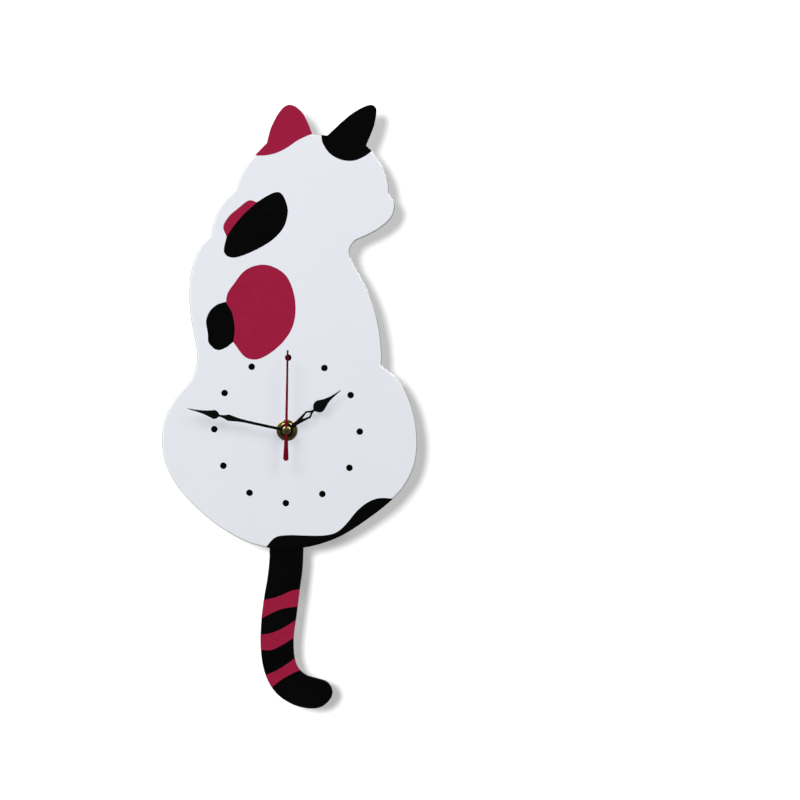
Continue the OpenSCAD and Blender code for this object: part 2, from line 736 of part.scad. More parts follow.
module second_hand() color("darkred") difference() {
    union() {
        slab(second_front, second_back) {
            polygon([[-second_root, 0], [-second_tip, second_len - second_point], [0, second_len],
                [second_tip, second_len - second_point], [second_root, 0],
                [second_bulb_r, second_bulb_r - second_tail],
                [-second_bulb_r, second_bulb_r - second_tail]]);
            translate([0, second_bulb_r - second_tail]) circle(second_bulb_r);
        }
        disc(second_front, second_back + 0.2, second_collar_r);
    }
    disc(second_front - cut, second_back + 1, hub_pipe_r);
}

// Turned hub of the second hand: a domed head before the blade and a pipe through it.
module second_hub() color("goldenrod") difference() {
    head_t = second_front - hub_front;
    pipe_end = second_back + 0.8 - hub_front;
    slab_turned(hub_front, concat(
        [for (i = [0:hub_steps]) let (r = hub_head_r*i/hub_steps)
            [r, hub_dome_r - sqrt(pow(hub_dome_r, 2) - pow(r, 2))]],
        [[hub_head_r, head_t], [hub_pipe_r, head_t], [hub_pipe_r, pipe_end], [0, pipe_end]]));
    disc(second_front - 0.2, second_back + 1, second_r);
}

// ---- wheels on the hand arbors ----
module hour_wheel() color("ivory") difference() {
    union() {
        layer(hour_level, 1.2) gear(hour_teeth, hour_m, motion_dir);
        disc(pipe_front, works_y + hour_level + 1.2, hour_r);
    }
    disc(pipe_front - cut, works_y + hour_level + 2, minute_r + run_gap);
}

module centre_wheel() color("ivory") difference() {
    union() {
        layer(cannon_level, 1.6) gear(cannon_teeth, cannon_m, motion_dir + 180/cannon_teeth);
        layer(centre_level, 1) gear(centre_teeth, third_m, 0);
        disc(works_y + cannon_level, works_y + centre_level + 1.3, 1.9);
        disc(cap_front + 0.4, works_y + cannon_level + 1, minute_r);
    }
    disc(cap_front, works_y + centre_level + 2, second_r + run_gap);
}

module second_wheel() color("ivory") difference() {
    union() {
        layer(third_level - 0.2, 1.4) gear(second_pinion_teeth, fine_m, 180/second_pinion_teeth);
        disc(works_y + third_level + 1, works_y + second_level + 0.4, 1);
        layer(second_level, 0.8) gear(second_teeth, fine_m, intermediate_dir);
    }
    disc(works_y + third_level - 1, works_y + second_level + 1, second_r);
}

module second_arbor() color("silver")
    disc(second_front - 0.2, works_y + bridge_level + bridge_t - 0.2, second_r);

// ---- wheels beside the hand arbors ----
module arbor(low, high, r, at) disc(works_y + low, works_y + high, r, at);

module third_wheel() color("ivory") {
    layer(centre_level - 0.2, 1.4, third_at)
        gear(third_pinion_teeth, third_m, 180 + 180/third_pinion_teeth);
    arbor(centre_level + 1.2, third_level, 1, third_at);
    layer(third_level, 1, third_at) gear(third_teeth, fine_m, 180);
    arbor(0.8, middle_level + middle_t - 0.1, third_r, third_at);
}

module intermediate_wheel() color("ivory") {
    layer(second_level - 0.1, 1.2, intermediate_at)
        gear(intermediate_pinion_teeth, fine_m,
            intermediate_dir + 180 + 180/intermediate_pinion_teeth);
    layer(intermediate_level, 0.7, intermediate_at) gear(intermediate_teeth, rotor_m, rotor_dir);
    arbor(middle_level + 0.1, bridge_level + bridge_t - 0.1, small_r, intermediate_at);
}

module rotor_pinion() color("ivory") {
    layer(intermediate_level - 0.1, 0.9, rotor_at)
        gear(rotor_pinion_teeth, rotor_m, rotor_dir + 180 + 180/rotor_pinion_teeth);
    arbor(magnet_level - 0.2, magnet_level + rotor_t, rotor_hub_r, rotor_at);
    arbor(middle_level + 0.1, bridge_level + bridge_t - 0.1, small_r, rotor_at);
}

module rotor_magnet() color("dimgray")
    ring(works_y + magnet_level, works_y + magnet_level + rotor_t, rotor_r, rotor_hub_r, rotor_at);

module motion_wheel() color("ivory") difference() {
    union() {
        layer(motion_level, 1.6, motion_at)
            gear(motion_pinion_teeth, hour_m, motion_dir + 180 + 180/motion_pinion_teeth);
        arbor(motion_level + 1, cannon_level + 0.8, 1.4, motion_at);
        layer(cannon_level + 0.2, 1.2, motion_at) gear(motion_teeth, cannon_m, motion_dir);
    }
    arbor(0, cannon_level + 2, stud_r + pivot_gap, motion_at);
}

module setting_knob() color("ivory") {
    layer(cannon_level, 1.6, knob_at)
        gear(knob_teeth, cannon_m, motion_dir + 180 + 180/knob_teeth);
    arbor(0.4, cannon_level + 0.4, small_r*2, knob_at);
    disc(works_y + cannon_level + 1, 0.4 - well_depth, knob_r, knob_at);
    slab(0.3 - well_depth, -0.4, knob_at) difference() {
        circle(knob_head_r);
        at_each([for (i = [0:23]) polar(knob_head_r + 0.3, 15*i)]) circle(0.6, $fn = 24);
    }
}

// ---- rocker, hanger and tail ----
magnet_r = 4;
magnet_t = 2.4;

module pendulum_rocker() color("ivory") {
    arm_w = 5;
    seat_r = 5.5;
    difference() {
        union() {
            layer(rocker_level, rocker_t) {
                translate([-arm_w/2, peg_at.y - 2]) square([arm_w, pivot_at.y - peg_at.y + 2]);
                translate(drive_at) circle(seat_r);
            }
            arbor(hub_level, hub_level + hub_t, 3.2, pivot_at);
        }
        arbor(hub_level - 1, hub_level + hub_t + 1, pin_r + pivot_gap, pivot_at);
        arbor(rocker_level - 1, rocker_level + magnet_t, magnet_r, drive_at);
    }
    disc(rocker_front - 2.2, rocker_front + cut, peg_r, peg_at);
    disc(rocker_front - 2.8, rocker_front - 2.2, peg_r + 0.6, peg_at);
}

module pendulum_magnet() color("dimgray")
    arbor(rocker_level, rocker_level + magnet_t, magnet_r, drive_at);

// Bent strip that hangs on the rocker's peg and is bonded to the back of the tail.
module tail_hanger() color("silver") {
    strip_back = tail_back + strip_t;
    tab_front = rocker_front - 1.2;
    tab_back = tab_front + strip_t;
    tab_top_r = strip_w/2 - 0.5;
    difference() {
        union() {
            translate([-strip_w/2, 0, shaft_z]) rotate([90, 0, 90]) linear_extrude(strip_w)
                polygon([[tab_front, peg_at.y], [tab_front, joggle[0]], [tail_back, joggle[1]],
                    [tail_back, strip_end], [strip_back, strip_end], [strip_back, joggle[1] + 0.3],
                    [tab_back, joggle[0] - 0.3], [tab_back, peg_at.y]]);
            disc(tab_front, tab_back, strip_w/2, peg_at);
        }
        disc(tab_front - 1, tab_back + 1, peg_r + 0.1, peg_at);
    }
}

module tail_shape() polygon(closed_curve(tail_knots));

module tail_plate() color("black") slab(tail_front, tail_back) tail_shape();

module tail_stripe(i) color("maroon") slab(tail_front - film_t, tail_front) intersection() {
    tail_shape();
    polygon(concat(curve(stripe_tops[i]), curve(stripe_bottoms[i])));
}

module tail_stripe_upper() tail_stripe(0);
module tail_stripe_middle() tail_stripe(1);
module tail_stripe_lower() tail_stripe(2);

cat_plate();
ear_patch_raspberry();
ear_patch_black();
shoulder_patch_raspberry();
shoulder_patch_black();
back_patch_raspberry();
back_patch_black();
haunch_patch_black();
hour_dots();
fixing_nut();
brass_washer();
rubber_washer();
hanger_plate();
threaded_bush();
movement_case();
rear_cover();
cover_screws();
middle_plate();
bridge_plate();
works_screws();
stator();
coil_core();
coil_spool();
coil_winding();
circuit_board();
chip_blob();
quartz_crystal();
battery_cell();
contact_positive();
contact_negative();
drive_spool();
drive_winding();
rocker_pin();
hour_hand();
hour_wheel();
minute_hand();
minute_nut();
centre_wheel();
second_hand();
second_hub();
second_wheel();
second_arbor();
third_wheel();
intermediate_wheel();
rotor_pinion();
rotor_magnet();
motion_wheel();
setting_knob();
pendulum_rocker();
pendulum_magnet();
tail_hanger();
tail_plate();
tail_stripe_upper();
tail_stripe_middle();
tail_stripe_lower();
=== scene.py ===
"""Looks of the cat tail clock: finishes, detailed pieces, wall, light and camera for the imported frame."""
import json
import math

import bmesh
import bpy
from mathutils import Matrix, Vector


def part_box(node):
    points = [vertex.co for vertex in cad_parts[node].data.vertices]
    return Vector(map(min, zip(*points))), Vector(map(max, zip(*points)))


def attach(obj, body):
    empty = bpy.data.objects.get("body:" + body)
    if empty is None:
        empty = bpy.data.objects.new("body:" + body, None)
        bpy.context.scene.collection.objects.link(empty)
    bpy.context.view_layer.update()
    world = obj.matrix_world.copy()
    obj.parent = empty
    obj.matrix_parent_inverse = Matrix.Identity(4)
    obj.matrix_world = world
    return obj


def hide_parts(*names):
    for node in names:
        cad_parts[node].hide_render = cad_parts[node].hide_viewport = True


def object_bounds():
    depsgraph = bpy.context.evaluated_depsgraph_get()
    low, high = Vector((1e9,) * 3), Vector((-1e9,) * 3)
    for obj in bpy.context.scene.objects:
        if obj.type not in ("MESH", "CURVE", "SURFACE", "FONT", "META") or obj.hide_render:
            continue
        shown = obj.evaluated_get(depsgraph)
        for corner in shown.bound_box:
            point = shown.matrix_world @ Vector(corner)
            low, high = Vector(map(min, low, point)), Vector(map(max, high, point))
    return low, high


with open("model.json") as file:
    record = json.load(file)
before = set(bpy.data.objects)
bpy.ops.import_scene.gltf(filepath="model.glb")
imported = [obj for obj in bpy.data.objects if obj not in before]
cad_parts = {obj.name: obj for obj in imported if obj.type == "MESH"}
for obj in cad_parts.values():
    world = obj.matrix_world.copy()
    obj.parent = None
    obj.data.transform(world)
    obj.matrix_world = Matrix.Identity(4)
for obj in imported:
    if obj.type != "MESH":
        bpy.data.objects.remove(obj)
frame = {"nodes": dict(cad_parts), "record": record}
cad_low, cad_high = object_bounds()
nodes = frame["nodes"]
slot_of = {part["node"]: part["material_slot"] for part in frame["record"]["subparts"]}

MM = 0.001
TURN = 2 * math.pi

# The rounded edge of a sheet, by the size of its normal's Y: between the first two values its face turns
# into a pale line of painted highlight, and between the second two that line turns into the cut wall, whose
# tint on the white sheet also paints the thin shade along the edge.
RIM_HIGHLIGHT_SLOPES = (0.985, 0.999)
CUT_SLOPES = (0.66, 0.84)

# Rounding of a CAD node: vertices this close are joined, faces this level with each other become one, and
# edges sharper than this are rounded.
JOIN_WITHIN = 0.001 * MM
LEVEL_WITHIN = math.radians(0.4)
ROUND_FROM = math.radians(34)

FILMS = ("raspberry_film", "black_film")
SHEETS = ("white_acrylic", "black_acrylic", *FILMS)
FILM_ROUNDING = 0.05

# The AA cell: how far its nub stands out of its shoulder, and the radius up to which its ends are bare.
CELL_NUB = 1 * MM
CELL_BARE = 6.4 * MM


def centre(node):
    """The middle of a CAD node's box at rest."""
    low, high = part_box(node)
    return (low + high) / 2


dial = centre("brass_washer")


# ---------------------------------------------------------------- finishes

class Graph:
    """A node tree, with the few kinds of node that are used here."""

    def __init__(self, tree):
        self.tree = tree

    def node(self, kind, inputs=None, **settings):
        """Adds a node. An input that is given a socket is linked to it, any other is set to its value."""
        node = self.tree.nodes.new("ShaderNode" + kind)
        for name, value in settings.items():
            setattr(node, name, value)
        for name, value in (inputs or {}).items():
            if isinstance(value, bpy.types.NodeSocket):
                self.tree.links.new(value, node.inputs[name])
            else:
                node.inputs[name].default_value = value
        return node

    def math(self, operation, a, b=0.0):
        """The result of a sum of one or two values."""
        return self.node("Math", {0: a, 1: b}, operation=operation).outputs[0]

    def between(self, factor, low, high, start=0.3, end=0.7):
        """A value that goes from low to high as factor goes from start to end."""
        return self.node("MapRange", {"Value": factor, "From Min": start, "From Max": end,
                                      "To Min": low, "To Max": high}).outputs[0]


class Finish(Graph):
    """A Principled material. Its colour, gloss and relief come from noise and from the place on it."""

    def __init__(self, name, sockets):
        self.material = bpy.data.materials.new(name)
        self.material.use_nodes = True
        super().__init__(self.material.node_tree)
        self.shader = self.tree.nodes["Principled BSDF"]
        for socket, value in sockets.items():
            self.shader.inputs[socket].default_value = value
        self.where = self.node("TexCoord").outputs["Object"]
        self.normal = None

    def noise(self, size, detail=2, stretch=(1, 1, 1)):
        """Noise whose lumps are about size metres across, drawn out along each axis by stretch."""
        scale = [1 / (size * s) for s in stretch]
        place = self.node("Mapping", {"Vector": self.where, "Scale": scale}).outputs[0]
        return self.node("TexNoise", {"Vector": place, "Scale": 1, "Detail": detail}).outputs["Fac"]

    def tint(self, factor, first, second):
        """A colour that goes from first to second as factor goes from 0 to 1."""
        mix = self.node("Mix", data_type="RGBA")
        for socket, value in ((mix.inputs[0], factor), (mix.inputs[6], first), (mix.inputs[7], second)):
            if isinstance(value, bpy.types.NodeSocket):
                self.tree.links.new(value, socket)
            elif socket.type == "RGBA":
                socket.default_value = (*value, 1)
            else:
                socket.default_value = value
        return mix.outputs[2]

    def distance(self, point, axis="Y"):
        """How far a place on the surface is from the line through point along axis."""
        across = [0 if name == axis else 1 for name in "XYZ"]
        offset = self.node("VectorMath", {0: self.where, 1: point}, operation="SUBTRACT").outputs[0]
        flat = self.node("VectorMath", {0: offset, 1: across}, operation="MULTIPLY").outputs[0]
        return self.node("VectorMath", {0: flat}, operation="LENGTH").outputs["Value"]

    def along(self, axis):
        """The coordinate of a place on the surface along that axis."""
        return self.node("SeparateXYZ", {"Vector": self.where}).outputs[axis]

    def waves(self, distance, pitch):
        """Even ridges, from 0 to 1, one for each pitch of distance."""
        angle = self.math("MULTIPLY", distance, TURN / pitch)
        return self.between(self.math("SINE", angle), 0, 1, start=-1, end=1)

    def side_wall(self, start=0.35, end=0.8):
        """1 on faces that run from front to rear, 0 on faces that look to the front or the rear."""
        normal = self.node("NewGeometry").outputs["Normal"]
        facing = self.node("SeparateXYZ", {"Vector": normal}).outputs["Y"]
        return self.between(self.math("ABSOLUTE", facing), 1, 0, start=start, end=end)

    def set(self, socket, value):
        """Feeds a value into that socket of the Principled shader."""
        self.tree.links.new(value, self.shader.inputs[socket])

    def colour(self, factor, first, second):
        """Sets a base colour that goes from first to second as factor goes from 0 to 1."""
        self.set("Base Color", self.tint(factor, first, second))

    def wander(self, size, detail, low=0, high=1):
        """Noise with lumps of that size, stretched so that it fills the range from low to high."""
        return self.between(self.noise(size, detail), low, high)

    def relief(self, height, depth):
        """Adds relief of that depth in metres on top of the relief that is there."""
        bump = self.node("Bump", {"Height": height, "Distance": depth, "Strength": 1})
        if self.normal:
            self.tree.links.new(self.normal, bump.inputs["Normal"])
        self.normal = bump.outputs[0]
        self.set("Normal", self.normal)


def acrylic(name, colour, cloud, painted_rim_highlight, cut_edge_and_shade):
    """Cast sheet: clear gloss, a painted highlight line round its faces, and laser-cut walls with fine
    lines across whose tint also paints shade along the white sheet's edge.
    """
    f = Finish(name, {"IOR": 1.49})
    side = f.side_wall()
    face = f.tint(f.wander(45 * MM, 4), colour, cloud)
    # A pale line painted where the rounding starts: painted highlight.
    rim = f.tint(f.side_wall(*RIM_HIGHLIGHT_SLOPES), face, painted_rim_highlight)
    # Tint of the cut wall. On the white sheet this grey also paints the thin shade along the edge.
    f.colour(f.side_wall(*CUT_SLOPES), rim, cut_edge_and_shade)
    haze = f.wander(9 * MM, 5, 0.03, 0.07)
    cut_haze = 0.2
    f.set("Roughness", f.math("ADD", haze, f.math("MULTIPLY", side, cut_haze)))
    f.relief(f.noise(38 * MM, 1), 0.03 * MM)
    lines = f.noise(0.3 * MM, 2, stretch=(1, 30, 1))
    f.relief(f.math("MULTIPLY", lines, side), 0.035 * MM)
    return f.material


def printed_film(name, colour, shade):
    """Glossy self-adhesive film: faint mottle from the print and a little orange peel."""
    f = Finish(name, {"IOR": 1.48})
    coarse, fine = 0.7, 0.3
    mottle = f.math("ADD", f.math("MULTIPLY", f.noise(5 * MM, 4), coarse),
                    f.math("MULTIPLY", f.noise(0.35 * MM, 1), fine))
    f.colour(f.between(mottle, 0, 1), colour, shade)
    f.set("Roughness", f.wander(6 * MM, 4, 0.03, 0.07))
    f.relief(f.noise(0.9 * MM, 2), 0.004 * MM)
    f.relief(f.noise(26 * MM, 1), 0.02 * MM)
    return f.material


def turned_brass(name, groove_pitch):
    """Lacquered turned brass with fine tool grooves round the hand arbor."""
    f = Finish(name, {"Metallic": 1.0})
    f.colour(f.wander(2.2 * MM, 4), (0.68, 0.56, 0.22), (0.60, 0.46, 0.16))
    f.set("Roughness", f.wander(0.8 * MM, 4, 0.22, 0.32))
    f.relief(f.waves(f.distance(dial), groove_pitch), 0.0025 * MM)
    f.relief(f.noise(0.8 * MM, 2), 0.0012 * MM)
    return f.material


def rolled_metal(name, bright, dull, roughness, grain, tint_size):
    """Plated or bright sheet and wire, with a rolling grain along Z and a slow change of tint."""
    f = Finish(name, {"Metallic": 1.0})
    lines = f.noise(grain, 3, stretch=(1, 1, 25))
    f.colour(f.wander(tint_size, 3), bright, dull)
    f.set("Roughness", f.between(lines, roughness - 0.07, roughness + 0.09))
    f.relief(lines, 0.008 * MM)
    f.relief(f.noise(6 * grain, 2), 0.006 * MM)
    return f.material


def moulded(name, colour, shade, roughness, texture_size, texture_depth, glow=0.0):
    """Injection-moulded plastic: texture from the tool, slow flow marks, faint dust in the tint."""
    f = Finish(name, {"IOR": 1.5, "Subsurface Weight": glow, "Subsurface Scale": 0.6 * MM,
                      "Subsurface Radius": (1.0, 0.8, 0.6)})
    f.colour(f.wander(7 * MM, 4), colour, shade)
    f.set("Roughness", f.wander(1.5 * MM, 3, roughness - 0.06, roughness + 0.08))
    f.relief(f.noise(texture_size, 2), texture_depth)
    f.relief(f.noise(14 * MM, 1), 0.03 * MM)
    return f.material


def hand_paint(name, colour, shade):
    """Glossy paint on a stamped aluminium hand: fine orange peel, thin places a little lighter."""
    f = Finish(name, {"IOR": 1.5})
    f.colour(f.wander(1.2 * MM, 4), colour, shade)
    f.set("Roughness", f.wander(0.5 * MM, 2, 0.06, 0.1))
    f.relief(f.noise(0.25 * MM, 2), 0.004 * MM)
    return f.material


def rubber():
    """Matt black rubber with a little dust."""
    f = Finish("rubber", {"IOR": 1.52, "Sheen Weight": 0.15})
    f.colour(f.wander(1.5 * MM, 4), (0.018, 0.018, 0.018), (0.045, 0.043, 0.04))
    f.set("Roughness", f.wander(0.6 * MM, 3, 0.65, 0.85))
    f.relief(f.noise(0.15 * MM, 3), 0.02 * MM)
    return f.material


def enamelled_wire(name):
    """Copper wire under clear enamel: the tint wanders from turn to turn."""
    f = Finish(name, {"Metallic": 1.0, "Coat Weight": 0.8, "Coat Roughness": 0.12})
    f.colour(f.wander(0.8 * MM, 4), (0.75, 0.30, 0.10), (0.42, 0.12, 0.04))
    f.set("Roughness", f.wander(0.4 * MM, 2, 0.18, 0.35))
    f.relief(f.noise(0.2 * MM, 2), 0.006 * MM)
    return f.material


def solder_mask():
    """Green lacquer over a laminate, with the copper tracks under it a shade lighter."""
    f = Finish("solder_mask", {"IOR": 1.5, "Coat Weight": 0.7, "Coat Roughness": 0.08})
    pitch = 1.6 * MM
    sway = f.math("MULTIPLY", f.noise(4 * MM, 0), 3 * MM)
    across = f.waves(f.math("ADD", f.along("X"), sway), pitch)
    tracks = f.between(across, 0, 1, start=0.62, end=0.68)
    f.colour(tracks, (0.008, 0.075, 0.028), (0.03, 0.19, 0.06))
    f.set("Roughness", f.wander(0.7 * MM, 3, 0.25, 0.4))
    f.relief(tracks, 0.03 * MM)
    f.relief(f.noise(0.5 * MM, 1, stretch=(1, 4, 1)), 0.006 * MM)
    return f.material


def cell_jacket():
    """Printed foil round an AA cell: a silver band at the positive end, steel at both end faces."""
    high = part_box("battery_cell")[1]
    band = 11 * MM
    band_from = high.x - CELL_NUB - band
    blur = 0.1 * MM
    f = Finish("cell_jacket", {"Coat Weight": 0.5, "Coat Roughness": 0.1})
    silver = f.between(f.along("X"), 0, 1, start=band_from - blur, end=band_from + blur)
    from_axis = f.distance(centre("battery_cell"), "X")
    rim = f.between(from_axis, 1, 0, start=CELL_BARE, end=CELL_BARE + blur)
    foil = f.tint(silver, (0.02, 0.10, 0.19), (0.62, 0.63, 0.65))
    f.colour(rim, foil, (0.6, 0.6, 0.6))
    f.set("Metallic", f.between(f.math("MAXIMUM", silver, rim), 0.55, 1, start=0, end=1))
    f.set("Roughness", f.wander(1.1 * MM, 3, 0.2, 0.34))
    f.relief(f.noise(3 * MM, 3, stretch=(4, 1, 1)), 0.03 * MM)
    return f.material


def sintered():
    """Bare ferrite of the pendulum and rotor magnets: dark, grainy and dull."""
    f = Finish("ferrite", {"Metallic": 0.35})
    f.colour(f.wander(0.3 * MM, 4), (0.035, 0.035, 0.038), (0.09, 0.09, 0.095))
    f.set("Roughness", f.wander(0.5 * MM, 3, 0.5, 0.7))
    f.relief(f.noise(0.12 * MM, 3), 0.015 * MM)
    return f.material


def epoxy():
    """Black drop of potting resin over the chip."""
    f = Finish("epoxy", {"IOR": 1.55, "Coat Weight": 1.0, "Coat Roughness": 0.05})
    f.colour(f.wander(0.8 * MM, 3), (0.006, 0.006, 0.006), (0.016, 0.016, 0.017))
    f.set("Roughness", f.wander(1 * MM, 2, 0.2, 0.35))
    f.relief(f.noise(1.3 * MM, 2), 0.02 * MM)
    return f.material


finish = {
    # The rim line colours below are painted highlight.
    "white_acrylic": acrylic("white_acrylic", (0.795, 0.812, 0.868), (0.782, 0.802, 0.860),
                             # The grey of this cut edge also paints the thin shade along the white sheet's
                             # edge.
                             painted_rim_highlight=(0.96, 0.96, 0.96), cut_edge_and_shade=(0.50, 0.51, 0.53)),
    "black_acrylic": acrylic("black_acrylic", (0.0021, 0.0020, 0.0021), (0.0033, 0.0032, 0.0034),
                             painted_rim_highlight=(0.012, 0.012, 0.0125), cut_edge_and_shade=(0.012, 0.012, 0.0125)),
    "raspberry_film": printed_film("raspberry_film", (0.34, 0.0138, 0.051), (0.305, 0.012, 0.045)),
    "black_film": printed_film("black_film", (0.0019, 0.0019, 0.0020), (0.0032, 0.0032, 0.0034)),
    "brass": turned_brass("turned_brass", groove_pitch=0.14 * MM),
    "rubber": rubber(),
    "zinc_steel": rolled_metal("zinc_steel", (0.60, 0.62, 0.65), (0.50, 0.51, 0.50),
                               roughness=0.36, grain=0.25 * MM, tint_size=6 * MM),
    "bright_steel": rolled_metal("bright_steel", (0.68, 0.68, 0.69), (0.58, 0.58, 0.59),
                                 roughness=0.24, grain=0.15 * MM, tint_size=4 * MM),
    "nickel_strip": rolled_metal("nickel_strip", (0.72, 0.69, 0.62), (0.62, 0.59, 0.52),
                                 roughness=0.2, grain=0.12 * MM, tint_size=3 * MM),
    "motor_iron": rolled_metal("motor_iron", (0.33, 0.33, 0.36), (0.24, 0.22, 0.22),
                               roughness=0.42, grain=0.2 * MM, tint_size=2.5 * MM),
    "case_plastic": moulded("black_case", (0.011, 0.011, 0.012), (0.0155, 0.0155, 0.0165),
                            roughness=0.47, texture_size=0.35 * MM, texture_depth=0.06 * MM),
    "works_plastic": moulded("works_plastic", (0.66, 0.62, 0.50), (0.58, 0.54, 0.43),
                             roughness=0.4, texture_size=0.5 * MM, texture_depth=0.006 * MM, glow=0.08),
    "gear_plastic": moulded("gear_plastic", (0.78, 0.76, 0.69), (0.72, 0.70, 0.62),
                            roughness=0.32, texture_size=0.4 * MM, texture_depth=0.004 * MM, glow=0.15),
    "knob_plastic": moulded("knob_plastic", (0.70, 0.68, 0.61), (0.63, 0.61, 0.54),
                            roughness=0.38, texture_size=0.3 * MM, texture_depth=0.012 * MM, glow=0.1),
    "copper_wire": enamelled_wire("enamelled_copper"),
    "board": solder_mask(),
    "epoxy": epoxy(),
    "cell_jacket": cell_jacket(),
    "magnet": sintered(),
    "black_paint": hand_paint("black_paint", (0.0035, 0.0035, 0.0037), (0.0055, 0.0055, 0.0058)),
    "red_paint": hand_paint("red_paint", (0.15, 0.0035, 0.0125), (0.13, 0.0025, 0.01)),
}


# ---------------------------------------------------------------- CAD nodes

# Radius in millimetres by which a node's edges are rounded. The films have their own, and the nodes that
# aren't here stay sharp or are replaced.
ROUNDED = {
    "cat_plate": 1.45, "tail_plate": 0.45, "hour_dots": 0.06, "rubber_washer": 0.2,
    "hanger_plate": 0.12, "movement_case": 0.35, "rear_cover": 0.12, "cover_screws": 0.06,
    "hour_hand": 0.14, "minute_hand": 0.14, "second_hand": 0.1, "second_hub": 0.06, "setting_knob": 0.12,
    "tail_hanger": 0.12, "pendulum_rocker": 0.15, "middle_plate": 0.1, "bridge_plate": 0.1,
    "works_screws": 0.04, "stator": 0.06, "coil_core": 0.06, "coil_spool": 0.08, "drive_spool": 0.1,
    "circuit_board": 0.05, "contact_positive": 0.06, "rocker_pin": 0.1, "rotor_magnet": 0.1,
    "pendulum_magnet": 0.15, "second_arbor": 0.08,
}


def dress(node, rounding):
    """Gives a CAD node its finish, and rounds its edges by that many millimetres with modifiers."""
    obj = nodes[node]
    obj.material_slots[0].material = finish[slot_of[node]]
    if rounding == 0:
        return
    mesh = obj.data
    if "custom_normal" in mesh.attributes:
        mesh.attributes.remove(mesh.attributes["custom_normal"])
    mesh.shade_smooth()
    join = obj.modifiers.new("join_faces", "WELD")
    join.merge_threshold = JOIN_WITHIN
    level = obj.modifiers.new("clear_flats", "DECIMATE")
    level.decimate_type = "DISSOLVE"
    level.angle_limit = LEVEL_WITHIN
    edge = obj.modifiers.new("round_edges", "BEVEL")
    edge.width = rounding * MM
    edge.segments = 3
    edge.limit_method = "ANGLE"
    edge.angle_limit = ROUND_FROM
    shade = obj.modifiers.new("shade", "WEIGHTED_NORMAL")
    shade.keep_sharp = False


for name in nodes:
    dress(name, ROUNDED.get(name, FILM_ROUNDING if slot_of[name] in FILMS else 0))
    # The sheets throw the key's shadow on the wall but hold back none of the room's light from it.
    nodes[name].visible_diffuse = slot_of[name] not in SHEETS


# ---------------------------------------------------------------- detailed pieces

def placed(point, axis, radius, angle, along):
    """The place at that radius and angle round an axis through point, and at that coordinate along it."""
    a, b = radius * math.cos(angle), radius * math.sin(angle)
    if axis == "X":
        return Vector((along, point.y + a, point.z + b))
    if axis == "Y":
        return Vector((point.x + a, along, point.z + b))
    return Vector((point.x + a, point.y + b, along))


def bridge(bm, rings):
    """Joins each ring of vertices to the next one with quads."""
    for first, second in zip(rings, rings[1:]):
        for i in range(len(first)):
            j = (i + 1) % len(first)
            bm.faces.new((first[i], first[j], second[j], second[i]))


def turned(bm, profile, point, axis, steps):
    """Adds a turned solid. Profile is a closed loop of (radius, along), each a number or a function of
    the angle round the axis."""
    rings = []
    for row in profile:
        ring = []
        for i in range(steps):
            angle = TURN * i / steps
            radius, along = [value(angle) if callable(value) else value for value in row]
            ring.append(bm.verts.new(placed(point, axis, radius, angle, along)))
        rings.append(ring)
    bridge(bm, rings + rings[:1])


def wire(bm, path, radius, sides=10):
    """Adds a round wire along a path of points, with flat ends."""
    path = [Vector(p) for p in path]
    across = None
    rings = []
    for i, p in enumerate(path):
        ahead = (path[min(i + 1, len(path) - 1)] - path[max(i - 1, 0)]).normalized()
        if across is None:
            across = ahead.orthogonal()
        across = (across - ahead * across.dot(ahead)).normalized()
        up = ahead.cross(across)
        ring = []
        for side in range(sides):
            angle = TURN * side / sides
            ring.append(bm.verts.new(p + radius * (math.cos(angle) * across + math.sin(angle) * up)))
        rings.append(ring)
    bridge(bm, rings)
    bm.faces.new(rings[0])
    bm.faces.new(rings[-1])


def block(bm, low, high, rounding):
    """Adds a box between two corners with rounded edges."""
    low, high = Vector(low), Vector(high)
    made = bmesh.ops.create_cube(bm, size=1)["verts"]
    for v in made:
        v.co = Vector([low[k] + (v.co[k] + 0.5) * (high[k] - low[k]) for k in range(3)])
    edges = list(dict.fromkeys(e for v in made for e in v.link_edges))
    bmesh.ops.bevel(bm, geom=edges, offset=rounding, segments=3, affect="EDGES", profile=0.5)


def piece(name, bm, slot, body, replaced, sharp=35):
    """Turns the mesh that was built into a piece that rides on a body and stands for CAD nodes."""
    same_place = 1e-4 * MM
    bmesh.ops.remove_doubles(bm, verts=bm.verts, dist=same_place)
    bmesh.ops.recalc_face_normals(bm, faces=bm.faces)
    mesh = bpy.data.meshes.new(name)
    bm.to_mesh(mesh)
    bm.free()
    mesh.materials.append(finish[slot])
    mesh.shade_smooth()
    mesh.set_sharp_from_angle(angle=math.radians(sharp))
    obj = bpy.data.objects.new(name, mesh)
    bpy.context.scene.collection.objects.link(obj)
    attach(obj, body)
    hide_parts(*replaced)


def fixing_nut():
    """Hexagon nut: chamfered faces, so that each corner ends in a curve, and a countersunk bore."""
    low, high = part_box("fixing_nut")
    front, back = low.y, high.y
    flat = (high.z - low.z) / 2
    face = flat * 0.985
    chamfer = math.tan(math.radians(30))
    bore = 4 * MM
    sink = 0.35 * MM
    half_side = math.radians(30)

    def hexagon(angle):
        """Radius of the nut's side at that angle. Two of its flats look up and down."""
        turn = (angle + half_side) % (2 * half_side) - half_side
        return flat / math.cos(half_side - abs(turn))

    def drop(angle):
        """How far from the face the chamfer meets the side."""
        return max(hexagon(angle) - face, 0) * chamfer

    profile = [
        (face, front), (hexagon, lambda angle: front + drop(angle)),
        (hexagon, lambda angle: back - drop(angle)), (face, back),
        (bore + sink, back), (bore, back - sink), (bore, front + sink), (bore + sink, front),
    ]
    bm = bmesh.new()
    turned(bm, profile, dial, "Y", steps=120)
    piece("hexagon_nut", bm, "brass", "clock", ["fixing_nut"], sharp=12)


